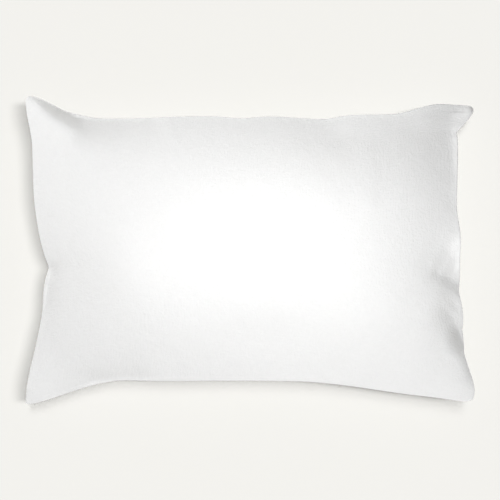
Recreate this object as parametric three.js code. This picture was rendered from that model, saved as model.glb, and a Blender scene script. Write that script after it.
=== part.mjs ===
// A pillow protector on its bed pillow, lying on its back: two plain cloth rectangles sewn edge to edge
// round a filled pillow. It is one filled solid, with a crown on its front, drawn-in edges between four
// uneven ears, a knife-edge seam and a back that is flat where it rests.
// Millimetres, +Z up. The origin is on the resting surface, under the middle of the outline. +X runs along
// the long side and +Y towards the head edge.

import * as THREE from 'three';
import { ParametricGeometry } from 'three/addons/geometries/ParametricGeometry.js';
import { mergeGeometries, mergeVertices } from 'three/addons/utils/BufferGeometryUtils.js';

// Driving sizes
const CROWN = 72; // how high the front swells above the seam
const BELLY = 130; // how deep the back would hang below the seam if nothing held it up
const FULLNESS = { front: 1.05, back: 0.5 }; // 0.5 gives a section the ends of an ellipse, more thins them
const FLATTOP = { along: 2.2, across: 2 }; // 2 is a round dome, more widens its top
const SEAM_THICK = 3; // the sewn edge: two turned-in layers of cloth
const REST_BEND = 12; // height over which the back eases into its flat resting patch
const EAR_SLACK = 0.45; // share of the swell that an ear lacks at its tip
const EAR_REACH = 75; // how far that slackness reaches from the tip
const SEAM_RAMP = 170; // length over which the seam rises from an ear to its level along an edge
const PUCKER_FADE = 18; // how quickly a pucker of the seam dies out across the cloth
const FOLD_SHARP = 1.6; // 2 makes the folds round-bottomed and 1 makes them creases
const CLOTH = { color: 0xf6f5f2, roughness: 0.9, metalness: 0 };

// Cells of the faceted cloth: along, across, and how strongly they gather towards the edges
const CELLS = { along: 56, across: 38, gather: 0.5 };

// x, y: where the two edges of an ear would meet. round: how far its tip is softened. z: height of the seam
// there
const EARS = {
  footLeft: { x: -364.6, y: -251, round: 2.5, z: 56 },
  footRight: { x: 362.5, y: -245.6, round: 10, z: 84 },
  headRight: { x: 371.5, y: 238.7, round: 9, z: 40 },
  headLeft: { x: -363.6, y: 253, round: 6, z: 70 },
};

// The four edges, counterclockwise. draw: how far the edge is pulled in at its first and last shoulder.
// start, end: the distances from each ear between which its edge turns in. z: height of the seam along the
// middle
const EDGES = {
  foot: { ears: ['footLeft', 'footRight'], draw: [40.2, 37.2], start: [-33, -37], end: [165, 310], z: 69 },
  right: { ears: ['footRight', 'headRight'], draw: [15.5, 31], start: [12, -2], end: [85, 53], z: 83 },
  head: { ears: ['headRight', 'headLeft'], draw: [20.5, 34.2], start: [55, -27], end: [148, 120], z: 60 },
  left: { ears: ['headLeft', 'footLeft'], draw: [11, 24.8], start: [1, -5], end: [90, 165], z: 58 },
};

// Puckers of the seam. at: distance from the edge's first ear. before, after: reach each way. depth: inwards,
// and outwards where negative. lift: upwards, and downwards where negative. sharp: 2 is a soft wave and 1 is
// a notch
const PUCKERS = [
  { edge: 'foot', at: 208, before: 70, after: 82, depth: -0.9, lift: 4, sharp: 2 },
  { edge: 'foot', at: 672, before: 56, after: 43, depth: 2.4, lift: -3, sharp: 2 },
  { edge: 'right', at: 78, before: 13, after: 7, depth: 1.8, lift: 2, sharp: 2 },
  { edge: 'right', at: 116, before: 5, after: 6, depth: 1.6, lift: 0, sharp: 1.5 },
  { edge: 'right', at: 178, before: 24, after: 15, depth: 5.8, lift: 0, sharp: 1.2 },
  { edge: 'right', at: 233, before: 64, after: 64, depth: 7, lift: 3, sharp: 2 },
  { edge: 'right', at: 317, before: 38, after: 86, depth: 8.8, lift: -3, sharp: 2 },
  { edge: 'right', at: 438, before: 5, after: 8, depth: 3, lift: 0, sharp: 1.5 },
  { edge: 'head', at: 250, before: 28, after: 66, depth: 6.4, lift: -1, sharp: 2 },
  { edge: 'head', at: 388, before: 33, after: 25, depth: 4.3, lift: 3, sharp: 2 },
  { edge: 'head', at: 560, before: 60, after: 60, depth: 0.9, lift: -4, sharp: 2 },
  { edge: 'head', at: 676, before: 22, after: 22, depth: 2.5, lift: 0, sharp: 2 },
  { edge: 'left', at: 163, before: 61, after: 51, depth: -2.6, lift: 3, sharp: 2 },
  { edge: 'left', at: 279, before: 37, after: 32, depth: 14.7, lift: 0, sharp: 1.2 },
];

// Folds of the cloth, each a line of bends. x, y: the bend's place. depth: how deep the trough is there, or
// how high the ridge where negative. left, right: its reach to each side, seen along the line
const FOLDS = {
  'head left ear drops to its edge': [
    { x: -362, y: 264, depth: 4, left: 14, right: 9 },
    { x: -335, y: 250, depth: 15, left: 14, right: 11 },
    { x: -309, y: 233, depth: 32, left: 18, right: 12 },
    { x: -286, y: 220, depth: 22, left: 18, right: 13 },
    { x: -262, y: 215, depth: 15, left: 20, right: 26 },
    { x: -215, y: 214, depth: 12, left: 20, right: 38 },
    { x: -165, y: 212, depth: 8, left: 20, right: 40 },
    { x: -110, y: 212, depth: 0, left: 20, right: 40 },
  ],
  'head left ear ridge': [
    { x: -362, y: 254, depth: 0, left: 10, right: 10 },
    { x: -335, y: 230, depth: -13, left: 14, right: 30 },
    { x: -302, y: 206, depth: -12, left: 16, right: 34 },
    { x: -250, y: 172, depth: 0, left: 20, right: 40 },
  ],
  'right notch': [
    { x: 262, y: -16, depth: 0, left: 50, right: 12 },
    { x: 286, y: -28, depth: 4, left: 50, right: 14 },
    { x: 305, y: -37, depth: 10, left: 50, right: 15 },
    { x: 325, y: -47, depth: 13, left: 50, right: 15 },
    { x: 344, y: -58, depth: 14, left: 50, right: 14 },
  ],
  'facet above the notch': [
    { x: 340, y: 95, depth: -3, left: 20, right: 26 },
    { x: 344, y: 45, depth: -11, left: 20, right: 26 },
    { x: 345, y: 14, depth: -16, left: 20, right: 22 },
    { x: 347, y: -24, depth: -14, left: 20, right: 10 },
    { x: 349, y: -56, depth: 0, left: 20, right: 8 },
  ],
  'right edge drops to the foot right ear': [
    { x: 290, y: -72, depth: 0, left: 20, right: 14 },
    { x: 322, y: -108, depth: 14, left: 60, right: 17 },
    { x: 344, y: -138, depth: 29, left: 50, right: 17 },
    { x: 360, y: -180, depth: 18, left: 30, right: 12 },
    { x: 374, y: -236, depth: 4, left: 20, right: 8 },
  ],
  'head right ear droops': [
    { x: 290, y: 262, depth: 0, left: 30, right: 30 },
    { x: 330, y: 240, depth: 6, left: 30, right: 40 },
    { x: 360, y: 215, depth: 6, left: 30, right: 40 },
    { x: 372, y: 150, depth: 0, left: 30, right: 30 },
  ],
  'head right ear turns up': [
    { x: 350, y: 246, depth: 0, left: 8, right: 12 },
    { x: 362, y: 226, depth: -6, left: 8, right: 20 },
    { x: 347, y: 202, depth: -5, left: 8, right: 13 },
    { x: 338, y: 185, depth: -4, left: 8, right: 9 },
    { x: 340, y: 165, depth: -4, left: 8, right: 9 },
    { x: 338, y: 105, depth: 0, left: 8, right: 8 },
  ],
  'foot left ear drops to its edge': [
    { x: -350, y: -252, depth: 0, left: 10, right: 10 },
    { x: -308, y: -236, depth: 7, left: 18, right: 10 },
    { x: -262, y: -214, depth: 9, left: 18, right: 10 },
    { x: -200, y: -207, depth: 7, left: 18, right: 10 },
    { x: -130, y: -207, depth: 0, left: 16, right: 10 },
  ],
  'left edge drops': [
    { x: -318, y: -10, depth: 0, left: 10, right: 10 },
    { x: -326, y: -40, depth: 8, left: 12, right: 10 },
    { x: -334, y: -90, depth: 8, left: 12, right: 10 },
    { x: -350, y: -150, depth: 0, left: 10, right: 10 },
  ],
  'foot left ear lifts': [
    { x: -290, y: -262, depth: 0, left: 30, right: 30 },
    { x: -335, y: -245, depth: -8, left: 30, right: 40 },
    { x: -365, y: -215, depth: -8, left: 30, right: 40 },
    { x: -372, y: -150, depth: 0, left: 30, right: 30 },
  ],
};

// The fill's unevenness. x, y: its middle. reach: along and across. height: above the even crown
const LUMPS = [
  { x: -300, y: 175, reach: [80, 60], height: 12 },
  { x: -210, y: -120, reach: [140, 90], height: 8 },
  { x: -250, y: 0, reach: [80, 90], height: 4 },
  { x: 0, y: -150, reach: [120, 60], height: -4 },
  { x: 190, y: 130, reach: [150, 90], height: -8 },
  { x: 230, y: -110, reach: [120, 80], height: 12 },
  { x: 300, y: 175, reach: [80, 60], height: -4 },
  { x: -195, y: 0, reach: [70, 90], height: 6 },
  { x: 150, y: 190, reach: [60, 28], height: -9 },
  { x: 262, y: 195, reach: [30, 30], height: -5 },
];

const clamp = THREE.MathUtils.clamp;
const lerp = THREE.MathUtils.lerp;
const smooth = (x) => THREE.MathUtils.smoothstep(x, 0, 1);

// A smooth rise from 0 at an ear to 1 where its edge has turned in
function turnIn(distance, start, end) {
  const atEar = smooth(-start / (end - start));
  return (smooth((distance - start) / (end - start)) - atEar) / (1 - atEar);
}

// A bell with its own reach on each side
function bell({ at, before, after, sharp }, distance) {
  const reach = distance < at ? before : after;
  return Math.exp(-((Math.abs(distance - at) / reach) ** sharp));
}

// The straight line between an edge's two ears, with the direction that points into the cloth
function chord(edge) {
  const [a, b] = edge.ears.map((name) => EARS[name]);
  const run = new THREE.Vector2(b.x - a.x, b.y - a.y);
  const length = run.length();
  const along = run.divideScalar(length);
  const inward = new THREE.Vector2(-along.y, along.x);
  return { a, b, length, along, inward };
}

// How far the plain edge is pulled in at a distance from its first ear
function drawIn(edge, length, distance) {
  const level = clamp((distance - edge.end[0]) / (length - edge.end[0] - edge.end[1]), 0, 1);
  const first = turnIn(distance, edge.start[0], edge.end[0]);
  const last = turnIn(length - distance, edge.start[1], edge.end[1]);
  return lerp(edge.draw[0], edge.draw[1], level) * first * last;
}

// A point of the edge without its puckers, and the seam's height there
function edgePoint(name, share) {
  const edge = EDGES[name];
  const { a, b, length, along, inward } = chord(edge);
  const distance = share * length;
  const point = new THREE.Vector2(a.x, a.y);
  point.addScaledVector(along, distance).addScaledVector(inward, drawIn(edge, length, distance));
  const level = smooth(distance / SEAM_RAMP) * smooth((length - distance) / SEAM_RAMP);
  return new THREE.Vector3(point.x, point.y, lerp(lerp(a.z, b.z, share), edge.z, level));
}

// How far the puckers of an edge move the seam there
function puckerShift(name, share) {
  const { length, inward } = chord(EDGES[name]);
  const shift = new THREE.Vector3();
  for (const row of PUCKERS.filter(({ edge }) => edge === name)) {
    const move = new THREE.Vector3(inward.x * row.depth, inward.y * row.depth, row.lift);
    shift.addScaledVector(move, bell(row, share * length));
  }
  return shift;
}

// An ear's tip is rounded: the cloth near it is pulled back along the line that halves the ear
const EDGE_STEP = 0.035; // share of an edge at which its direction from the ear is taken
const tipPulls = Object.entries(EARS).map(([name, ear]) => {
  const tip = new THREE.Vector3(ear.x, ear.y, ear.z);
  const halving = new THREE.Vector3();
  for (const [edgeName, edge] of Object.entries(EDGES)) {
    const end = edge.ears.indexOf(name);
    if (end < 0) continue;
    const beside = edgePoint(edgeName, end === 0 ? EDGE_STEP : 1 - EDGE_STEP);
    halving.add(beside.sub(tip).setZ(0).normalize());
  }
  return { tip, round: ear.round, pull: halving.multiplyScalar(ear.round / 2) };
});

function roundTips(point) {
  const place = point.clone();
  for (const { tip, round, pull } of tipPulls) {
    const distance = Math.hypot(place.x - tip.x, place.y - tip.y);
    point.addScaledVector(pull, Math.exp(-distance / round));
  }
  return point;
}

// The cloth's place in plan and the seam's height carried across it: the four edges blended over the unit
// square, less the ears counted twice, and each edge's puckers dying out away from it
function sheetPoint(u, v) {
  const edges = [
    ['foot', u, 1 - v],
    ['right', v, u],
    ['head', 1 - u, v],
    ['left', 1 - v, 1 - u],
  ];
  const point = new THREE.Vector3();
  for (const [name, share, weight] of edges) {
    point.addScaledVector(edgePoint(name, share), weight);
    point.addScaledVector(puckerShift(name, share), weight ** PUCKER_FADE);
  }
  const ears = [
    ['footLeft', (1 - u) * (1 - v)],
    ['footRight', u * (1 - v)],
    ['headRight', u * v],
    ['headLeft', (1 - u) * v],
  ];
  for (const [name, weight] of ears) {
    const { x, y, z } = EARS[name];
    point.addScaledVector(new THREE.Vector3(x, y, z), -weight);
  }
  return roundTips(point);
}

// Share of the full swell: 1 at the middle and 0 at the seam
function dome(u, v) {
  const along = 1 - Math.abs(2 * u - 1) ** FLATTOP.along;
  const across = 1 - Math.abs(2 * v - 1) ** FLATTOP.across;
  return Math.max(0, along * across);
}

// Share of the swell that is left near the ears, where the cloth holds less fill
function earShare(place) {
  return tipPulls.reduce((share, { tip }) => {
    const distance = Math.hypot(place.x - tip.x, place.y - tip.y);
    return share - EAR_SLACK * Math.exp(-((distance / EAR_REACH) ** 2));
  }, 1);
}

// The depth of one stretch of a fold, from bend a to bend b, at a place at its distance from the line
function stretchDepth(a, b, place) {
  const run = new THREE.Vector2(b.x - a.x, b.y - a.y);
  const spot = new THREE.Vector2(place.x - a.x, place.y - a.y);
  const share = clamp(spot.dot(run) / run.lengthSq(), 0, 1);
  const distance = Math.hypot(spot.x - run.x * share, spot.y - run.y * share);
  const side = run.cross(spot) > 0 ? 'left' : 'right';
  const reach = lerp(a[side], b[side], smooth(share));
  const depth = lerp(a.depth, b.depth, smooth(share)) * Math.exp(-((distance / reach) ** FOLD_SHARP));
  return { distance, depth };
}

// Depth of all the folds at a place: each gives that of its nearest stretch
function foldDepth(place) {
  return Object.values(FOLDS).reduce((sum, line) => {
    const stretches = line.slice(1).map((bend, i) => stretchDepth(line[i], bend, place));
    const nearest = stretches.reduce((a, b) => (b.distance < a.distance ? b : a));
    return sum + nearest.depth;
  }, 0);
}

// Height of all the lumps at a place
function lumpHeight(place) {
  return LUMPS.reduce((sum, { x, y, reach, height }) => {
    const [along, across] = [(place.x - x) / reach[0], (place.y - y) / reach[1]];
    return sum + height * Math.exp(-(along ** 2) - across ** 2);
  }, 0);
}

// Heights below the surface become 0, with a rounded bend of REST_BEND above and below it
function restOn(height) {
  if (height <= -REST_BEND) return 0;
  if (height >= REST_BEND) return height;
  return (height + REST_BEND) ** 2 / (4 * REST_BEND);
}

// Cell lines gather towards both ends of the unit interval
const gather = (t) => lerp(t, 0.5 - 0.5 * Math.cos(Math.PI * t), CELLS.gather);

// The cloth's middle layer, which the folds move with both panels and the seam
function foldedSheet(u, v) {
  const place = sheetPoint(u, v);
  place.z -= foldDepth(place);
  return place;
}

function frontPoint(s, t, target) {
  const [u, v] = [gather(s), gather(t)];
  const place = foldedSheet(u, v);
  const share = dome(u, v) ** FULLNESS.front * earShare(place);
  const swell = CROWN * share + lumpHeight(place) * Math.sqrt(share);
  target.set(place.x, place.y, place.z + SEAM_THICK / 2 + swell);
}

// The back runs the other way along X, so that its faces point down
function backPoint(s, t, target) {
  const [u, v] = [gather(1 - s), gather(t)];
  const place = foldedSheet(u, v);
  const share = dome(u, v) ** FULLNESS.back * earShare(place);
  target.set(place.x, place.y, restOn(place.z - SEAM_THICK / 2 - BELLY * share));
}

// The sewn edge: a narrow upright strip along each of the four edges, counterclockwise
const STRIPS = [
  { cells: CELLS.along, at: (s) => [gather(s), 0] },
  { cells: CELLS.across, at: (s) => [1, gather(s)] },
  { cells: CELLS.along, at: (s) => [gather(1 - s), 1] },
  { cells: CELLS.across, at: (s) => [0, gather(1 - s)] },
];

function seamStrip({ cells, at }) {
  return new ParametricGeometry((s, t, target) => {
    target.copy(foldedSheet(...at(s)));
    target.z += SEAM_THICK * (t - 0.5);
  }, cells, 1);
}

// Front, back and seam share their border points, so merging these closes the skin
function closeSkin(pieces) {
  const joined = mergeGeometries(pieces);
  joined.deleteAttribute('normal');
  joined.deleteAttribute('uv');
  const skin = mergeVertices(joined, 1e-3);
  skin.computeBoundingBox();
  const middle = skin.boundingBox.getCenter(new THREE.Vector3());
  skin.translate(-middle.x, -middle.y, 0);
  skin.computeVertexNormals();
  return skin;
}

const skin = closeSkin([
  new ParametricGeometry(frontPoint, CELLS.along, CELLS.across),
  new ParametricGeometry(backPoint, CELLS.along, CELLS.across),
  ...STRIPS.map(seamStrip),
]);

const protector = new THREE.Mesh(skin, new THREE.MeshStandardMaterial(CLOTH));
protector.name = 'pillow_protector';

const group = new THREE.Group();
group.add(protector);

export default group;
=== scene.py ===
import math
from collections import namedtuple

import bpy
import numpy as np
from bpy.props import FloatProperty, FloatVectorProperty, IntProperty, PointerProperty
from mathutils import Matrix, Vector


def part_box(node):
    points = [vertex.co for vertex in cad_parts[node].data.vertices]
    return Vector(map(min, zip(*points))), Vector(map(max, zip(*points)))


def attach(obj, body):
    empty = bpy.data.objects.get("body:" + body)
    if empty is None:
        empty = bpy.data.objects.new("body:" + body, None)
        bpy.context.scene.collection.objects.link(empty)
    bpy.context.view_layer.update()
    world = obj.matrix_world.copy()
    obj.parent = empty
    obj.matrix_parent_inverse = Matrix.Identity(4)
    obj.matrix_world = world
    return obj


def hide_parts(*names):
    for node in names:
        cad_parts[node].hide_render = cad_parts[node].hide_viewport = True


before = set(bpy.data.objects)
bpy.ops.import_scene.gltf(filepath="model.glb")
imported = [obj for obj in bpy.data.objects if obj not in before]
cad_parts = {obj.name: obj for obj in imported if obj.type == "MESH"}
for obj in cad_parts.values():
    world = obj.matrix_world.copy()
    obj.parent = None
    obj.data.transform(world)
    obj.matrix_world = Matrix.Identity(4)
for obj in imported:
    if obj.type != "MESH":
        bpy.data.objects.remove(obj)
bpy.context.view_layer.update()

bl_info = {
    "name": "Pillow protector",
    "version": (1, 0, 0),
    "blender": (4, 5, 0),
    "location": "View3D > Sidebar > Pillow protector",
    "description": "A white woven pillow protector on its filled pillow, with its stage",
    "category": "Object",
}

# A plain white pillow protector on its filled pillow, lying on its back: a front and a back panel of
# woven cloth, sewn edge to edge. Tables are in millimetres, with +X along the long side, +Y towards the
# head edge and +Z up, and meshes are written in metres.

MM = 0.001  # metres to the millimetre
NODE = "pillow_protector"  # the CAD solid that the cloth stands for
LOW, HIGH = (np.array(corner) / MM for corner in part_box(NODE))
PANEL = (750.0, 500.0)  # the cut length and width of each panel, inside its seam

# x, y: where the two edges of an ear would meet. round: how far its tip is softened. z: height of the seam
Ear = namedtuple("Ear", "x y round z")
EARS = {
    "foot_left": Ear(x=-364.6, y=-251.0, round=2.5, z=56.0),
    "foot_right": Ear(x=362.5, y=-245.6, round=10.0, z=84.0),
    "head_right": Ear(x=371.5, y=238.7, round=9.0, z=40.0),
    "head_left": Ear(x=-363.6, y=253.0, round=6.0, z=70.0),
}

# The four edges, counterclockwise. draw: how far an edge is pulled in at its first and last shoulder.
# start, end: the distances from each ear between which it turns in. z: height of the seam along its middle
Edge = namedtuple("Edge", "ears draw start end z")
EDGES = {
    "foot": Edge(("foot_left", "foot_right"), draw=(40.2, 37.2), start=(-33, -37), end=(165, 310), z=69),
    "right": Edge(("foot_right", "head_right"), draw=(15.5, 31.0), start=(12, -2), end=(85, 53), z=83),
    "head": Edge(("head_right", "head_left"), draw=(20.5, 34.2), start=(55, -27), end=(148, 120), z=60),
    "left": Edge(("head_left", "foot_left"), draw=(11.0, 24.8), start=(1, -5), end=(90, 165), z=58),
}

# Puckers of the seam. at: distance from the edge's first ear. before, after: reach each way. depth:
# inwards. lift: upwards. sharp: 2 is a soft wave and 1 is a notch
Pucker = namedtuple("Pucker", "edge at before after depth lift sharp")
PUCKERS = [
    Pucker("foot", at=208, before=70, after=82, depth=-0.9, lift=4, sharp=2.0),
    Pucker("foot", at=672, before=56, after=43, depth=2.4, lift=-3, sharp=2.0),
    Pucker("right", at=78, before=13, after=7, depth=1.8, lift=2, sharp=2.0),
    Pucker("right", at=116, before=5, after=6, depth=1.6, lift=0, sharp=1.5),
    Pucker("right", at=178, before=24, after=15, depth=5.8, lift=0, sharp=1.2),
    Pucker("right", at=233, before=64, after=64, depth=7.0, lift=3, sharp=2.0),
    Pucker("right", at=317, before=38, after=86, depth=8.8, lift=-3, sharp=2.0),
    Pucker("right", at=438, before=5, after=8, depth=3.0, lift=0, sharp=1.5),
    Pucker("head", at=250, before=28, after=66, depth=6.4, lift=-1, sharp=2.0),
    Pucker("head", at=388, before=33, after=25, depth=4.3, lift=3, sharp=2.0),
    Pucker("head", at=560, before=60, after=60, depth=0.9, lift=-4, sharp=2.0),
    Pucker("head", at=676, before=22, after=22, depth=2.5, lift=0, sharp=2.0),
    Pucker("left", at=163, before=61, after=51, depth=-2.6, lift=3, sharp=2.0),
    Pucker("left", at=279, before=37, after=32, depth=14.7, lift=0, sharp=1.2),
]

# Folds of the cloth, each a line of bends. x, y: the bend's place. depth: how deep the trough is there, or
# how high the ridge where negative. left, right: its reach to each side, seen along the line
Bend = namedtuple("Bend", "x y depth left right")
FOLDS = {
    "head left ear drops to its edge": [
        Bend(-362, 264, 4, 14, 9), Bend(-335, 250, 15, 14, 11), Bend(-309, 233, 36, 18, 12),
        Bend(-286, 220, 25, 18, 13), Bend(-262, 215, 18, 20, 26),
        Bend(-215, 214, 15, 20, 36), Bend(-165, 212, 8, 20, 34), Bend(-125, 212, 0, 20, 30)],
    "head left ear ridge": [
        Bend(-362, 254, 0, 10, 10), Bend(-335, 230, -13, 14, 30), Bend(-302, 206, -12, 16, 34),
        Bend(-250, 172, 0, 20, 40)],
    "left pinch": [
        Bend(-330, -30, 2, 6, 6), Bend(-316, -10, 2, 6, 5), Bend(-306, 4, 0, 6, 5)],
    "right notch": [
        Bend(262, -16, 0, 50, 12), Bend(286, -28, 2, 50, 12), Bend(305, -37, 8, 50, 13),
        Bend(325, -47, 13, 50, 15), Bend(344, -58, 14, 50, 14)],
    "facet above the notch": [
        Bend(340, 95, -3, 20, 26), Bend(344, 45, -11, 20, 24), Bend(345, 14, -16, 20, 22),
        Bend(347, -20, -11, 20, 12), Bend(349, -48, 0, 20, 8)],
    "below the notch": [
        Bend(300, -56, 0, 10, 10), Bend(330, -86, 3, 10, 10), Bend(346, -98, 0, 8, 8)],
    "right edge drops to the foot right ear": [
        Bend(298, -74, 0, 20, 18), Bend(329, -108, 15, 60, 20), Bend(344, -138, 29, 50, 16),
        Bend(360, -180, 15, 30, 12), Bend(374, -236, 1, 20, 8)],
    "head right ear droops": [
        Bend(298, 262, 0, 30, 30), Bend(334, 238, 5, 30, 40), Bend(360, 215, 5, 30, 40),
        Bend(372, 150, 0, 30, 30)],
    "head right tip": [
        Bend(318, 256, 0, 10, 10), Bend(345, 254, 8, 10, 12), Bend(364, 250, 10, 10, 10),
        Bend(378, 240, 3, 10, 8)],
    "head right ear turns up": [
        Bend(354, 244, 0, 8, 12), Bend(362, 226, -10, 8, 20), Bend(347, 202, -9, 8, 13),
        Bend(338, 185, -6, 8, 9), Bend(340, 165, -5, 8, 9), Bend(338, 105, -2, 8, 8),
        Bend(338, 70, 0, 8, 8)],
    "foot left ear drops to its edge": [
        Bend(-350, -252, 0, 10, 10), Bend(-308, -236, 7, 18, 10), Bend(-262, -214, 9, 18, 10),
        Bend(-200, -207, 7, 18, 10), Bend(-130, -207, 0, 16, 10)],
    "foot edge fills out": [
        Bend(10, -208, 0, 14, 10), Bend(70, -210, -3, 14, 10), Bend(150, -214, -2, 14, 10),
        Bend(200, -219, 0, 14, 10)],
    "left edge drops": [
        Bend(-318, -10, 0, 10, 10), Bend(-326, -40, 8, 12, 10), Bend(-334, -90, 8, 12, 10),
        Bend(-350, -150, 0, 10, 10)],
    "head left ear dimple": [
        Bend(-345, 190, 0, 10, 10), Bend(-310, 180, 2, 14, 14), Bend(-270, 186, 2, 14, 14),
        Bend(-230, 196, 0, 12, 12)],
    "foot left ear lifts": [
        Bend(-290, -262, 0, 30, 30), Bend(-335, -245, -8, 30, 40), Bend(-365, -215, -8, 30, 40),
        Bend(-372, -150, 0, 30, 30)],
}

# The fill's unevenness. x, y: a lump's middle. reach: along and across. height: above the even crown, or
# below it where negative
Lump = namedtuple("Lump", "x y reach height")
LUMPS = [
    Lump(x=-300, y=175, reach=(80, 60), height=6),
    Lump(x=-210, y=-120, reach=(140, 90), height=8),
    Lump(x=-250, y=0, reach=(80, 90), height=4),
    Lump(x=190, y=130, reach=(150, 90), height=-4),
    Lump(x=255, y=-110, reach=(120, 80), height=12),
    Lump(x=300, y=175, reach=(80, 60), height=-4),
    Lump(x=-190, y=-25, reach=(60, 85), height=17),
    Lump(x=25, y=-145, reach=(100, 50), height=-10),
    Lump(x=312, y=30, reach=(30, 45), height=3),
    Lump(x=150, y=190, reach=(60, 28), height=-9),
    Lump(x=262, y=195, reach=(30, 30), height=-5),
]

FULLNESS = (1.05, 0.5)  # front, back: 0.5 gives a cross-section the ends of an ellipse, more thins them
FLATTOP = (2.2, 2.0)  # along, across: 2 is a round dome, more widens its top
REST_BEND = 12.0  # height over which the back eases into its flat resting patch
EAR_SLACK = 0.45  # share of the swell that an ear lacks at its tip
EAR_REACH = 75.0  # how far that slackness reaches from the tip
SEAM_RAMP = 170.0  # length over which the seam goes from an ear's height to its edge's
TIP_STEP = 0.035  # share of an edge, from the ear, at which the line that halves the ear is found
FOLD_SHARP = 1.6  # 2 makes the folds round-bottomed and 1 makes them creases
PUCKER_FADE = 18  # how quickly a pucker of the seam dies out across the cloth
GATHER = 0.5  # how strongly the cloth's grid lines gather towards the seam


# ---- shape ---------------------------------------------------------------------------------------------


def smooth(x):
    """3x^2 - 2x^3 between 0 and 1, flat outside."""
    x = np.clip(x, 0.0, 1.0)
    return x * x * (3.0 - 2.0 * x)


def turn_in(distance, start, end):
    """A smooth rise from 0 at an ear to 1 at the end: the smooth step between start and end, less what it
    already is at the ear, and stretched to reach 1."""
    at_ear = smooth(-start / (end - start))
    return (smooth((distance - start) / (end - start)) - at_ear) / (1.0 - at_ear)


def bell(distance, row):
    """exp(-(|distance from its place| / reach) ^ sharp), with its own reach on each side."""
    reach = np.where(distance < row.at, row.before, row.after)
    return np.exp(-((np.abs(distance - row.at) / reach) ** row.sharp))


def chord(edge):
    """The straight line between an edge's two ears: its ends, length, direction and inward normal."""
    first, last = (EARS[name] for name in edge.ears)
    run = np.array([last.x - first.x, last.y - first.y])
    length = np.hypot(*run)
    along = run / length
    return first, last, length, along, np.array([-along[1], along[0]])


def edge_points(name, share):
    """The edge without its puckers: its chord, pulled inwards by the draw, which goes evenly from one
    shoulder's depth to the other's and turns in from both ears. The height goes from the line between the
    ears to the edge's own, by a smooth step at each end."""
    edge = EDGES[name]
    first, last, length, along, inward = chord(edge)
    distance = share * length
    level = np.clip((distance - edge.end[0]) / (length - sum(edge.end)), 0.0, 1.0)
    draw = edge.draw[0] + (edge.draw[1] - edge.draw[0]) * level
    draw *= turn_in(distance, edge.start[0], edge.end[0])
    draw *= turn_in(length - distance, edge.start[1], edge.end[1])
    x = first.x + along[0] * distance + inward[0] * draw
    y = first.y + along[1] * distance + inward[1] * draw
    ears_z = first.z + (last.z - first.z) * share
    rise = smooth(distance / SEAM_RAMP) * smooth((length - distance) / SEAM_RAMP)
    return np.stack([x, y, ears_z + (edge.z - ears_z) * rise])


def pucker_shift(name, share):
    """How far the puckers of an edge move the seam: the sum of their bells, inwards and up."""
    _, _, length, _, inward = chord(EDGES[name])
    shift = np.zeros((3,) + np.shape(share))
    for row in PUCKERS:
        if row.edge == name:
            height = bell(share * length, row)
            shift += np.multiply.outer([inward[0] * row.depth, inward[1] * row.depth, row.lift], height)
    return shift


def tip_pulls():
    """Each ear with the vector that rounds its tip: half its rounding, times the sum of the two unit
    vectors that run from the ear along its edges."""
    pulls = []
    for name, ear in EARS.items():
        halving = np.zeros(2)
        for edge_name, edge in EDGES.items():
            if name in edge.ears:
                share = TIP_STEP if edge.ears[0] == name else 1.0 - TIP_STEP
                beside = edge_points(edge_name, np.array(share))[:2] - (ear.x, ear.y)
                halving += beside / np.hypot(*beside)
        pulls.append((ear, halving * ear.round / 2.0))
    return pulls


def sheet(u, v):
    """The cloth's place in plan, and the seam's height carried across it: the four edges blended over the
    unit square, less the ears counted twice, with each edge's puckers dying out away from it, and each
    tip pulled back by exp(-distance / round)."""
    edges = [("foot", u, 1 - v), ("right", v, u), ("head", 1 - u, v), ("left", 1 - v, 1 - u)]
    place = np.zeros((3,) + u.shape)
    for name, share, weight in edges:
        place += edge_points(name, share) * weight
        place += pucker_shift(name, share) * weight**PUCKER_FADE
    ears = [("foot_left", (1 - u) * (1 - v)), ("foot_right", u * (1 - v)), ("head_right", u * v),
            ("head_left", (1 - u) * v)]
    for name, weight in ears:
        ear = EARS[name]
        place -= np.multiply.outer([ear.x, ear.y, ear.z], weight)
    rounded = place.copy()
    for ear, pull in tip_pulls():
        fade = np.exp(-np.hypot(place[0] - ear.x, place[1] - ear.y) / ear.round)
        rounded[:2] += np.multiply.outer(pull, fade)
    return rounded


def domes(u, v):
    """The product of two domes, 1 - |2t - 1| ^ FLATTOP along each side: 1 in the middle and 0 at the seam."""
    along, across = (1 - np.abs(2 * t - 1) ** power for t, power in zip((u, v), FLATTOP))
    return np.maximum(along * across, 0.0)


def ear_slack(place):
    """Share of the swell that is left near the ears: less exp(-(distance from the tip / reach) ^ 2)."""
    left = np.ones(place.shape[1:])
    for ear in EARS.values():
        distance = np.hypot(place[0] - ear.x, place[1] - ear.y)
        left -= EAR_SLACK * np.exp(-((distance / EAR_REACH) ** 2))
    return left


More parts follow.
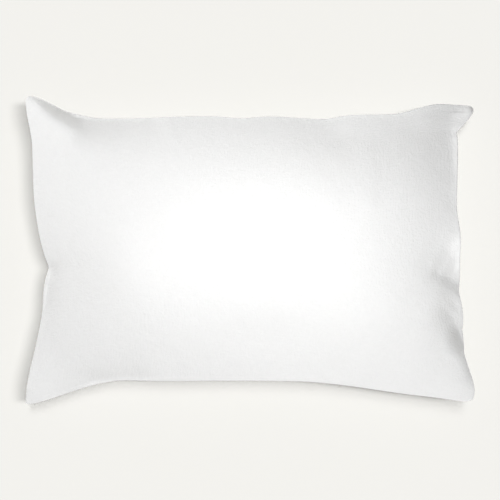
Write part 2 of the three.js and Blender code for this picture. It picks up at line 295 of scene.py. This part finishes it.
def fold_depth(place):
    """Sum of the folds. Each has the section exp(-(distance from its line / reach) ^ FOLD_SHARP), and its
    depth and its reach on each side go smoothly from bend to bend. Where a line turns, the nearest of its
    stretches counts."""
    total = np.zeros(place.shape[1:])
    for line in FOLDS.values():
        nearest, depth = np.full_like(total, np.inf), np.zeros_like(total)
        for a, b in zip(line, line[1:]):
            x, y, run_x, run_y = place[0] - a.x, place[1] - a.y, b.x - a.x, b.y - a.y
            share = np.clip((x * run_x + y * run_y) / (run_x**2 + run_y**2), 0.0, 1.0)
            distance = np.hypot(x - run_x * share, y - run_y * share)
            share = smooth(share)
            left = a.left + (b.left - a.left) * share
            right = a.right + (b.right - a.right) * share
            reach = np.where(run_x * y > run_y * x, left, right)
            here = (a.depth + (b.depth - a.depth) * share) * np.exp(-((distance / reach) ** FOLD_SHARP))
            depth = np.where(distance < nearest, here, depth)
            nearest = np.minimum(nearest, distance)
        total += depth
    return total


def lump_height(place):
    """Sum of the lumps: each fades as exp(-(distance / reach) ^ 2), with its own reach each way."""
    total = np.zeros(place.shape[1:])
    for lump in LUMPS:
        along, across = (place[0] - lump.x) / lump.reach[0], (place[1] - lump.y) / lump.reach[1]
        total += lump.height * np.exp(-(along**2) - across**2)
    return total


def rest_on(height):
    """Heights below the resting surface become 0 and those above it stay, but within REST_BEND of it they
    follow the parabola (height + REST_BEND) ^ 2 / (4 REST_BEND)."""
    bend = (height + REST_BEND) ** 2 / (4 * REST_BEND)
    return np.where(height <= -REST_BEND, 0.0, np.where(height >= REST_BEND, height, bend))


def grid_lines(cells):
    """Even shares t from 0 to 1, moved the part GATHER of the way to (1 - cos(pi t)) / 2."""
    t = np.linspace(0.0, 1.0, cells + 1)
    return t + (0.5 - 0.5 * np.cos(math.pi * t) - t) * GATHER


def panels(sizes):
    """The front and back panels as grids of points, in millimetres, fitted in plan to the frame's box. The
    front stands above the seam by the crown, and the back hangs below it by the belly, each times the dome
    to the power of its fullness and the ears' slackness. The lumps lift the front with the dome's root, and
    the back comes to rest on the surface."""
    u, v = np.meshgrid(grid_lines(sizes.cells_along), grid_lines(sizes.cells_across))
    place = sheet(u, v)
    place[2] -= fold_depth(place)
    seam = sizes.seam_thickness / MM / 2
    slack = ear_slack(place)
    above, below = (domes(u, v) ** fullness * slack for fullness in FULLNESS)
    front, back = place.copy(), place.copy()
    front[2] += seam + sizes.crown / MM * above + lump_height(place) * np.sqrt(above)
    back[2] = rest_on(place[2] - seam - sizes.belly / MM * below)
    low, high = place[:2].min(axis=(1, 2)), place[:2].max(axis=(1, 2))
    scale = (HIGH - LOW)[:2] / (high - low)
    for grid in (front, back):
        grid[:2] = (grid[:2] - (low + high)[:, None, None] / 2) * scale[:, None, None]
        grid[:2] += (LOW + HIGH)[:2, None, None] / 2
    return front, back


# ---- mesh ----------------------------------------------------------------------------------------------


def border(rows, columns):
    """Indices of a grid's border points, counterclockwise from the first corner."""
    index = np.arange(rows * columns).reshape(rows, columns)
    return np.concatenate([index[0, :-1], index[:-1, -1], index[-1, :0:-1], index[:0:-1, 0]])


def quads(index):
    """The quads of a grid of point indices, facing up where its columns follow +X and its rows +Y."""
    corners = [index[:-1, :-1], index[:-1, 1:], index[1:, 1:], index[1:, :-1]]
    return np.stack([corner.ravel() for corner in corners], axis=1)


# The sewn edge's section, from the front panel down to the back one. down: share of its thickness.
# out: how far it stands out. The middle is the needle's groove
SEAM_SECTION = [(0.12, 0.7), (0.3, 1.1), (0.46, 0.8), (0.5, 0.2), (0.54, 0.8), (0.7, 1.1), (0.88, 0.7)]


def seam_rows(top, bottom):
    """The points of the seam's section carried round the border: each a share of the way from the front's
    border to the back's, and outwards along the border's normal in plan."""
    ahead = np.roll(top, -1, axis=0) - np.roll(top, 1, axis=0)
    outward = np.stack([ahead[:, 1], -ahead[:, 0], np.zeros(len(top))], axis=1)
    outward /= np.linalg.norm(outward, axis=1)[:, None]
    return [top + (bottom - top) * down + outward * out for down, out in SEAM_SECTION]


def cloth_mesh(front, back):
    """One closed mesh: the front grid, the back grid turned over, and the seam's rows between them."""
    _, rows, columns = front.shape
    count = rows * columns
    points = [front.reshape(3, -1).T, back.reshape(3, -1).T]
    loop = border(rows, columns)
    points += seam_rows(points[0][loop], points[1][loop])
    index = np.arange(count).reshape(rows, columns)
    seam_loops = [2 * count + len(loop) * k + np.arange(len(loop)) for k in range(len(SEAM_SECTION))]
    rings = np.stack([loop] + seam_loops + [loop + count])
    closed = np.concatenate([rings, rings[:, :1]], axis=1)[::-1]
    faces = np.concatenate([quads(index), quads(index + count)[:, ::-1], quads(closed)])
    points = np.concatenate(points) * MM

    mesh = bpy.data.meshes.new("protector_cloth")
    mesh.vertices.add(len(points))
    mesh.vertices.foreach_set("co", points.ravel())
    mesh.loops.add(faces.size)
    mesh.loops.foreach_set("vertex_index", faces.ravel())
    mesh.polygons.add(len(faces))
    mesh.polygons.foreach_set("loop_start", np.arange(0, faces.size, faces.shape[1]))
    mesh.polygons.foreach_set("use_smooth", np.ones(len(faces), bool))
    mesh.update(calc_edges=True)
    mesh.validate()
    return mesh, faces, loop


def weave_places(grid):
    """Places in the flat panel: the arc length along each grid line, scaled to the panel's cut size."""
    places = []
    for axis, size in ((2, PANEL[0]), (1, PANEL[1])):
        steps = np.linalg.norm(np.diff(grid, axis=axis), axis=0)
        arc = np.insert(np.cumsum(steps, axis=axis - 1), 0, 0.0, axis=axis - 1)
        total = arc[:, -1:] if axis == 2 else arc[-1:]
        places.append(arc / total * size)
    return np.stack(places, axis=-1).reshape(-1, 2)


def add_weave_map(mesh, faces, front, back, loop, thickness):
    """The weave's UV map, in metres on the flat panels. The seam's rows carry on from the border, outwards
    from the panel's centre over half the seam's thickness and back."""
    places = [weave_places(front), weave_places(back)]
    centre = np.array(PANEL) / 2
    edge = places[0][loop]
    direction = (edge - centre) / np.linalg.norm(edge - centre, axis=1)[:, None]
    places += [edge + direction * thickness * min(down, 1.0 - down) for down, _ in SEAM_SECTION]
    layer = mesh.uv_layers.new(name="weave")
    layer.data.foreach_set("uv", (np.concatenate(places)[faces.ravel()] * MM).ravel())


# ---- wrinkles ------------------------------------------------------------------------------------------

# The cloth's own wrinkles, from a simulation of the front panel with its seam held
SETTLE_STEP = 4  # the simulated copy has every so many of the panel's grid lines
SETTLE_FRAMES = 16  # steps of the simulation
SETTLE_PRESSURE = 4.0  # from inside
SETTLE_SHRINK = -0.01  # below 0, the share by which the cloth is longer than the shape that it starts from
SETTLE_BROAD = 18  # rounds of averaging that leave only the broad part of what the simulation moved
SETTLE_HEIGHT = 0.6  # the highest wrinkle that the firm filling lets stand
SETTLE_SHARE = 0.6  # how much of a small wrinkle stands
SETTLE_MARGIN = 0.05  # share of the panel over which the wrinkles grow, inwards from the seam
COTTON = {  # Cloth settings of a light woven cotton
    "quality": 6,
    "mass": 0.3,
    "air_damping": 1.0,
    "tension_stiffness": 15.0,
    "compression_stiffness": 15.0,
    "shear_stiffness": 5.0,
    "bending_stiffness": 0.5,
}


def averaged(field, rounds):
    """A grid of numbers averaged with its neighbours, weighted 1 2 1 each way, over and over."""
    for _ in range(rounds):
        wide = np.pad(field, ((1, 1), (0, 0)), mode="edge")
        field = (wide[:-2] + 2 * wide[1:-1] + wide[2:]) / 4
        wide = np.pad(field, ((0, 0), (1, 1)), mode="edge")
        field = (wide[:, :-2] + 2 * wide[:, 1:-1] + wide[:, 2:]) / 4
    return field


def simulated_heights(grid):
    """Heights of a copy of the panel after Blender's Cloth has pressed it out from inside, with its seam
    held. The copy is removed again."""
    _, rows, columns = grid.shape
    mesh = bpy.data.meshes.new("settling")
    index = np.arange(rows * columns).reshape(rows, columns)
    mesh.from_pydata((grid.reshape(3, -1).T * MM).tolist(), [], quads(index).tolist())
    copy = bpy.data.objects.new("settling", mesh)
    bpy.context.scene.collection.objects.link(copy)
    copy.vertex_groups.new(name="seam").add(border(rows, columns).tolist(), 1.0, "REPLACE")
    cloth = copy.modifiers.new("cloth", "CLOTH")
    settings = cloth.settings
    for name, value in COTTON.items():
        setattr(settings, name, value)
    settings.use_pressure = True
    settings.uniform_pressure_force = SETTLE_PRESSURE
    settings.shrink_min = SETTLE_SHRINK
    settings.vertex_group_mass = "seam"
    settings.effector_weights.gravity = 0.0
    cloth.collision_settings.use_collision = False
    frames = range(1, SETTLE_FRAMES + 1)
    cloth.point_cache.frame_start, cloth.point_cache.frame_end = frames[0], frames[-1]
    for frame_number in frames:
        bpy.context.scene.frame_set(frame_number)
    settled = copy.evaluated_get(bpy.context.evaluated_depsgraph_get()).data
    places = np.empty(rows * columns * 3)
    settled.vertices.foreach_get("co", places)
    bpy.data.objects.remove(copy)
    bpy.data.meshes.remove(mesh)
    bpy.context.scene.frame_set(frames[0])
    return places.reshape(rows, columns, 3)[:, :, 2] / MM


def settle(front):
    """Adds the simulated wrinkles to the front panel: what the simulation moved, less its broad part, times
    a share, held under a height by tanh, averaged on the finer grid, and faded out at the seam."""
    coarse = front[:, ::SETTLE_STEP, ::SETTLE_STEP]
    moved = simulated_heights(coarse) - coarse[2]
    wrinkles = (moved - averaged(moved, SETTLE_BROAD)) * SETTLE_SHARE
    wrinkles = SETTLE_HEIGHT * np.tanh(wrinkles / SETTLE_HEIGHT)
    counts = list(zip(wrinkles.shape, front.shape[1:]))
    nearest = [np.rint(np.linspace(0, few - 1, many)).astype(int) for few, many in counts]
    fine = averaged(wrinkles[np.ix_(*nearest)], SETTLE_STEP**2)
    shares = (np.linspace(0, 1, many) for _, many in counts)
    across, along = (np.minimum(share, 1 - share) for share in shares)
    front[2] += fine * smooth(np.minimum.outer(across, along) / SETTLE_MARGIN)


# ---- finish --------------------------------------------------------------------------------------------

BLACK = (0.0, 0.0, 0.0, 1.0)
WHITE = (1.0, 1.0, 1.0, 1.0)

# The cloth's grain. A relief is a share of the grain's depth. A scale is how many patches of a noise there
# are to the metre, and a detail is how many finer layers it has
THREAD_RELIEF = 0.06
SLUB_STRETCH = ((110.0, 300.0, 1.0), (300.0, 80.0, 1.0))  # scales of the slubs along the panel, and across it
SLUB_DETAIL, SLUB_RELIEF = 2.0, 1.2
NAP_SCALE, NAP_DETAIL, NAP_RELIEF = 320.0, 3.0, 0.8
RUMPLE_SCALE, RUMPLE_DETAIL, RUMPLE_RELIEF = 60.0, 2.0, 1.5
MOTTLE_SCALE, MOTTLE_DETAIL = 22.0, 3.0
MOTTLE_SHADES = (0.965, 0.975)  # shares of the cloth's colour
STREAK_SHADE = 0.03  # how much lighter or darker a slub is
CLOTH_ROUGHNESS = 0.9
CLOTH_SPECULAR = 0.25
SHEEN_WEIGHT = 0.05
SHEEN_ROUGHNESS = 0.5


class Nodes:
    """A short way to add and join the nodes of a material."""

    def __init__(self, name):
        self.material = bpy.data.materials.new(name)
        self.material.use_nodes = True
        self.tree = self.material.node_tree
        self.tree.nodes.clear()

    def add(self, kind, inputs=None, **settings):
        """Adds a node. Each of its inputs is given as a number, a colour or the output to join it to."""
        node = self.tree.nodes.new("ShaderNode" + kind)
        for key, value in settings.items():
            setattr(node, key, value)
        for key, value in (inputs or {}).items():
            if isinstance(value, bpy.types.NodeSocket):
                self.tree.links.new(value, node.inputs[key])
            else:
                node.inputs[key].default_value = value
        return node

    def math(self, operation, a, b=0.0):
        """The output of a Math node."""
        return self.add("Math", {0: a, 1: b}, operation=operation).outputs[0]

    def noise(self, place, scale, detail):
        """The output of a noise from 0 to 1."""
        return self.add("TexNoise", {"Vector": place, "Scale": scale, "Detail": detail}).outputs[0]


def cloth_material(finish):
    """Bleached plain-woven cotton. Its relief is the product of two sines, for threads crossing over and
    under, plus noises: stretched ones for the slubs along the threads, a fine one for the nap and a broader
    one for a faint rumple. Its colour is mottled by the broadest noise and streaked by the slubs."""
    nodes = Nodes("protector_cloth")
    place = nodes.add("UVMap", uv_map="weave").outputs["UV"]
    split = nodes.add("SeparateXYZ", {0: place})
    turn = math.pi / finish.thread_pitch
    warp = nodes.math("SINE", nodes.math("MULTIPLY", split.outputs["X"], turn))
    weft = nodes.math("SINE", nodes.math("MULTIPLY", split.outputs["Y"], turn))
    threads = nodes.math("MULTIPLY", warp, weft)

    slubs = []
    for stretch in SLUB_STRETCH:
        stretched = nodes.add("Mapping", {"Vector": place, "Scale": stretch}).outputs[0]
        slubs.append(nodes.noise(stretched, 1.0, SLUB_DETAIL))
    slub = nodes.math("ADD", *slubs)
    nap = nodes.noise(place, NAP_SCALE, NAP_DETAIL)
    rumple = nodes.noise(place, RUMPLE_SCALE, RUMPLE_DETAIL)

    relief = nodes.math("MULTIPLY", threads, THREAD_RELIEF)
    for height, share in ((slub, SLUB_RELIEF), (nap, NAP_RELIEF), (rumple, RUMPLE_RELIEF)):
        relief = nodes.math("ADD", relief, nodes.math("MULTIPLY", height, share))
    bump = nodes.add("Bump", {"Strength": 1.0, "Distance": finish.grain_depth, "Height": relief})

    mottle = nodes.noise(place, MOTTLE_SCALE, MOTTLE_DETAIL)
    dark, light = MOTTLE_SHADES
    mottled = nodes.add("MapRange", {"Value": mottle, "To Min": dark, "To Max": light}).outputs[0]
    streaks = nodes.math("MULTIPLY", nodes.math("SUBTRACT", slub, 1.0), STREAK_SHADE)
    color = nodes.add("Mix", {
        "Factor": nodes.math("ADD", mottled, streaks),
        "A": BLACK,
        "B": (*finish.cloth_color, 1.0),
    }, data_type="RGBA")
    surface = nodes.add("BsdfPrincipled", {
        "Base Color": color.outputs["Result"],
        "Normal": bump.outputs[0],
        "Roughness": CLOTH_ROUGHNESS,
        "Specular IOR Level": CLOTH_SPECULAR,
        "Sheen Weight": SHEEN_WEIGHT,
        "Sheen Roughness": SHEEN_ROUGHNESS,
    })
    nodes.add("OutputMaterial", {"Surface": surface.outputs[0]})
    return nodes.material


def floor_material(finish):
    """A plain ground, wholly matte."""
    nodes = Nodes("ground")
    surface = nodes.add("BsdfPrincipled", {
        "Base Color": (*finish.floor_color, 1.0),
        "Roughness": 1.0,
        "Specular IOR Level": 0.0,
    })
    nodes.add("OutputMaterial", {"Surface": surface.outputs[0]})
    return nodes.material


# ---- stage ---------------------------------------------------------------------------------------------

# Places and sizes on the stage are in metres
SEAM_LEVEL = 0.075  # height of the seam along the edges, which the view is framed at
VIEW_WIDTH = 0.810  # width of the view at the seam's level
VIEW_MIDDLE = (-0.001, 0.0009)  # the place that the camera stands over
LENS = 100.0  # focal length of the camera, in millimetres
GROUND_HALF = 20.0  # half the side of the square ground
SURROUND_STRENGTH = 0.1  # of the even light from all around, which keeps the shaded sides from going black

# Soft lamps for the cloth alone: one over it, one large one on each side, and small ones near three of the
# ears. size: side of the square lamp. power: in watts
Lamp = namedtuple("Lamp", "name place size power")
LAMPS = [
    Lamp("lamp_over", place=(0.072, 0.1, 0.8), size=0.5, power=4.22),
    Lamp("lamp_left", place=(-1.17, 0.45, 0.6), size=1.0, power=7.7),
    Lamp("lamp_foot", place=(0.4, -1.5, 0.7), size=1.0, power=11.2),
    Lamp("lamp_head", place=(0.3, 1.5, 0.6), size=1.2, power=0.8),
    Lamp("lamp_right", place=(1.5, 0.1, 0.6), size=1.2, power=1.35),
    Lamp("lamp_foot_left", place=(-0.42, -0.31, 0.16), size=0.06, power=0.028),
    Lamp("lamp_foot_right", place=(0.42, -0.30, 0.19), size=0.06, power=0.006),
    Lamp("lamp_head_left", place=(-0.42, 0.31, 0.17), size=0.06, power=0.014),
]

# Suns for the ground alone: one overhead, a row of four towards +X and a row of four towards +Y, side by
# side, so that together they shine as one soft light with the shape of an L. place: the direction that a
# sun shines from. spread: its width in the sky, in degrees
Sun = namedtuple("Sun", "name place spread strength")
SUNS = [
    Sun("sun_over", place=(0.03, 0.03, 1.0), spread=8.0, strength=1.0),
    Sun("sun_right_1", place=(0.09, 0.04, 1.0), spread=9.0, strength=1.2),
    Sun("sun_right_2", place=(0.22, 0.05, 1.0), spread=9.0, strength=1.7),
    Sun("sun_right_3", place=(0.36, 0.05, 1.0), spread=9.0, strength=1.9),
    Sun("sun_right_4", place=(0.50, 0.05, 1.0), spread=9.0, strength=1.5),
    Sun("sun_head_1", place=(0.04, 0.09, 1.0), spread=9.0, strength=1.45),
    Sun("sun_head_2", place=(0.05, 0.20, 1.0), spread=9.0, strength=1.55),
    Sun("sun_head_3", place=(0.05, 0.33, 1.0), spread=9.0, strength=1.15),
    Sun("sun_head_4", place=(0.05, 0.45, 1.0), spread=9.0, strength=0.2),
]


def add_light(context, data, place):
    """A light at a place, turned to face the origin, and itself hidden from the camera."""
    item = bpy.data.objects.new(data.name, data)
    item.location = place
    item.rotation_euler = (-Vector(place)).to_track_quat("-Z", "Y").to_euler()
    item.visible_camera = False
    context.scene.collection.objects.link(item)
    return item


def add_lamp(context, lamp):
    """A square soft lamp."""
    data = bpy.data.lights.new(lamp.name, "AREA")
    data.energy, data.size = lamp.power, lamp.size
    return add_light(context, data, lamp.place)


def add_sun(context, sun):
    """A light from far away, as wide in the sky as its spread."""
    data = bpy.data.lights.new(sun.name, "SUN")
    data.energy, data.angle = sun.strength, math.radians(sun.spread)
    return add_light(context, data, sun.place)


def light_only(lights, receiver):
    """Lets each of these lights shine on the receiver alone."""
    group = bpy.data.collections.new("lit_" + receiver.name)
    group.objects.link(receiver)
    for light in lights:
        light.light_linking.receiver_collection = group


def add_camera(context):
    """A camera that looks straight down. It stands above the seam's level by the view's width there times
    its lens over its sensor's width."""
    data = bpy.data.cameras.new("camera")
    data.lens = LENS
    item = bpy.data.objects.new("camera", data)
    item.location = (*VIEW_MIDDLE, SEAM_LEVEL + VIEW_WIDTH * data.lens / data.sensor_width)
    context.scene.collection.objects.link(item)
    context.scene.camera = item


def add_ground(context, finish):
    """A flat square ground at the height that the protector rests on."""
    signs = np.array([(-1, -1, 0), (1, -1, 0), (1, 1, 0), (-1, 1, 0)])
    mesh = bpy.data.meshes.new("ground")
    mesh.from_pydata((signs * GROUND_HALF).tolist(), [], [(0, 1, 2, 3)])
    mesh.materials.append(floor_material(finish))
    item = bpy.data.objects.new("ground", mesh)
    context.scene.collection.objects.link(item)
    return item


def set_world(context):
    """A dim even surround, and a view transform that leaves the colours as they are."""
    world = bpy.data.worlds.new("surround")
    world.use_nodes = True
    background = world.node_tree.nodes["Background"]
    background.inputs["Color"].default_value = WHITE
    background.inputs["Strength"].default_value = SURROUND_STRENGTH
    context.scene.world = world
    context.scene.view_settings.view_transform = "Standard"


# ---- sizes and operators -------------------------------------------------------------------------------


class ProtectorSizes(bpy.types.PropertyGroup):
    """The sizes of the protector and of its mesh."""

    crown: FloatProperty(
        name="Crown", description="How high the front swells above the seam",
        default=0.072, min=0.02, max=0.15, unit="LENGTH")
    belly: FloatProperty(
        name="Belly", description="How deep the back would hang below the seam if nothing held it up",
        default=0.130, min=0.02, max=0.2, unit="LENGTH")
    seam_thickness: FloatProperty(
        name="Seam thickness", description="Thickness of the two turned-in layers at the sewn edge",
        default=0.003, min=0.001, max=0.006, unit="LENGTH")
    cells_along: IntProperty(
        name="Cells along", description="Mesh cells along the long side of a panel",
        default=256, min=16, max=400)
    cells_across: IntProperty(
        name="Cells across", description="Mesh cells across a panel",
        default=176, min=12, max=300)


class ProtectorFinish(bpy.types.PropertyGroup):
    """The colours and the grain of the cloth, and the ground's colour."""

    cloth_color: FloatVectorProperty(
        name="Cloth", description="Colour of the bleached cotton",
        default=(0.955, 0.955, 0.950), min=0.0, max=1.0, subtype="COLOR")
    floor_color: FloatVectorProperty(
        name="Ground", description="Colour of the plain ground",
        default=(0.244, 0.2415, 0.232), min=0.0, max=1.0, subtype="COLOR")
    thread_pitch: FloatProperty(
        name="Thread pitch", description="Distance from one thread of the weave to the next",
        default=0.0005, min=0.0002, max=0.002, unit="LENGTH", precision=5)
    grain_depth: FloatProperty(
        name="Grain depth", description="Height of the cloth's grain",
        default=0.0005, min=0.0, max=0.001, unit="LENGTH", precision=5)


class PROTECTOR_OT_cloth(bpy.types.Operator):
    """Makes the protector's two panels and their seam, filled by the pillow"""

    bl_idname = "protector.cloth"
    bl_label = "Protector"

    def execute(self, context):
        sizes, finish = context.scene.protector_sizes, context.scene.protector_finish
        front, back = panels(sizes)
        settle(front)
        mesh, faces, loop = cloth_mesh(front, back)
        add_weave_map(mesh, faces, front, back, loop, sizes.seam_thickness / MM)
        mesh.materials.append(cloth_material(finish))
        piece = bpy.data.objects.new("protector_cloth", mesh)
        context.scene.collection.objects.link(piece)
        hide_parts(NODE)
        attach(piece, "root")
        return {"FINISHED"}


class PROTECTOR_OT_stage(bpy.types.Operator):
    """Makes the ground, the lights, the dim surround and the camera straight above"""

    bl_idname = "protector.stage"
    bl_label = "Stage"

    def execute(self, context):
        ground = add_ground(context, context.scene.protector_finish)
        light_only([add_sun(context, sun) for sun in SUNS], ground)
        light_only([add_lamp(context, lamp) for lamp in LAMPS], bpy.data.objects["protector_cloth"])
        set_world(context)
        add_camera(context)
        return {"FINISHED"}


class PROTECTOR_PT_sidebar(bpy.types.Panel):
    """Lists the protector's operators, sizes and finish"""

    bl_idname = "PROTECTOR_PT_sidebar"
    bl_label = "Pillow protector"
    bl_space_type = "VIEW_3D"
    bl_region_type = "UI"
    bl_category = "Pillow protector"

    def draw(self, context):
        column = self.layout.column()
        for group in (context.scene.protector_sizes, context.scene.protector_finish):
            for name in group.__annotations__:
                column.prop(group, name)
        for operator in (PROTECTOR_OT_cloth, PROTECTOR_OT_stage):
            column.operator(operator.bl_idname)


CLASSES = (ProtectorSizes, ProtectorFinish, PROTECTOR_OT_cloth, PROTECTOR_OT_stage, PROTECTOR_PT_sidebar)


def register():
    """Registers the classes, and puts the two groups of properties on the scene."""
    for item in CLASSES:
        bpy.utils.register_class(item)
    bpy.types.Scene.protector_sizes = PointerProperty(type=ProtectorSizes)
    bpy.types.Scene.protector_finish = PointerProperty(type=ProtectorFinish)


def unregister():
    """Undoes what register did, in the opposite order."""
    del bpy.types.Scene.protector_finish
    del bpy.types.Scene.protector_sizes
    for item in reversed(CLASSES):
        bpy.utils.unregister_class(item)


def main():
    """Makes the protector and its stage."""
    register()
    bpy.ops.protector.cloth()
    bpy.ops.protector.stage()


if __name__ == "__main__":
    main()
